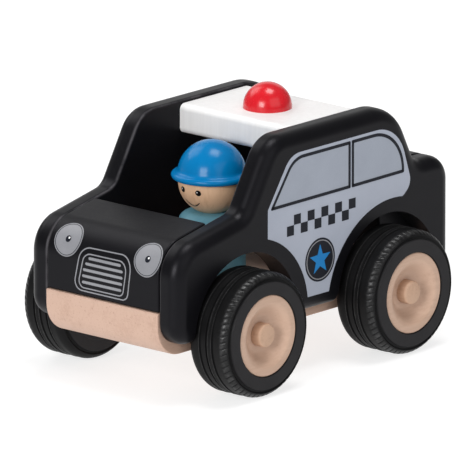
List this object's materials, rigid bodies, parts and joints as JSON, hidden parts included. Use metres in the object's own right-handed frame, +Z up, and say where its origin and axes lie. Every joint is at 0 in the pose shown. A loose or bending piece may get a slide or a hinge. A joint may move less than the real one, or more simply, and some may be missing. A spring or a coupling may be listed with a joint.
{
  "type": "toy police car",
  "caption": "Wooden toy patrol car: side panels on a chassis board, roof slab with dome beacon, rubber-tyred wheels on turning axles, and a peg driver that lifts out.",
  "frame": {"origin": "on the ground under the middle of the car", "axes": "+X is the front of the car, +Y its left side, +Z up"},
  "size_m": [0.1442, 0.0962, 0.0945],
  "materials": {
    "natural_wood": "sanded, clear matt lacquer",
    "dowel_wood": "turned, clear matt lacquer",
    "black_paint": "satin black paint on wood",
    "white_paint": "satin white paint on wood",
    "red_paint": "gloss red paint on wood",
    "blue_paint": "gloss blue paint on wood",
    "light_blue_paint": "satin light blue paint on wood",
    "tyre_rubber": "matt moulded rubber"
  },
  "bodies": {
    "car": {"chassis_board": "natural_wood", "left_side_panel": "black_paint", "right_side_panel": "black_paint", "bonnet_block": "black_paint", "boot_block": "black_paint", "roof_slab": "white_paint", "beacon": "red_paint", "roof_dowels": "dowel_wood", "bonnet_dowels": "dowel_wood", "boot_dowels": "dowel_wood", "chassis_dowels": "dowel_wood"},
    "front_wheels": {"front_axle": "dowel_wood", "front_left_hub": "natural_wood", "front_right_hub": "natural_wood", "front_left_tyre": "tyre_rubber", "front_right_tyre": "tyre_rubber"},
    "rear_wheels": {"rear_axle": "dowel_wood", "rear_left_hub": "natural_wood", "rear_right_hub": "natural_wood", "rear_left_tyre": "tyre_rubber", "rear_right_tyre": "tyre_rubber"},
    "driver": {"driver_torso": "light_blue_paint", "driver_head": "natural_wood", "driver_helmet": "blue_paint", "neck_dowel": "dowel_wood"}
  },
  "joints": [
    {"name": "front_axle_spin", "type": "hinge", "parent": "car", "child": "front_wheels", "pos_m": [0.0392, 0, 0.0222], "axis": [0, 1, 0], "continuous": true},
    {"name": "rear_axle_spin", "type": "hinge", "parent": "car", "child": "rear_wheels", "pos_m": [-0.0374, 0, 0.0222], "axis": [0, 1, 0], "continuous": true},
    {"name": "driver_lift", "type": "slide", "parent": "car", "child": "driver", "axis": [0, 0, 1], "range_m": [0, 0.065]}
  ]
}
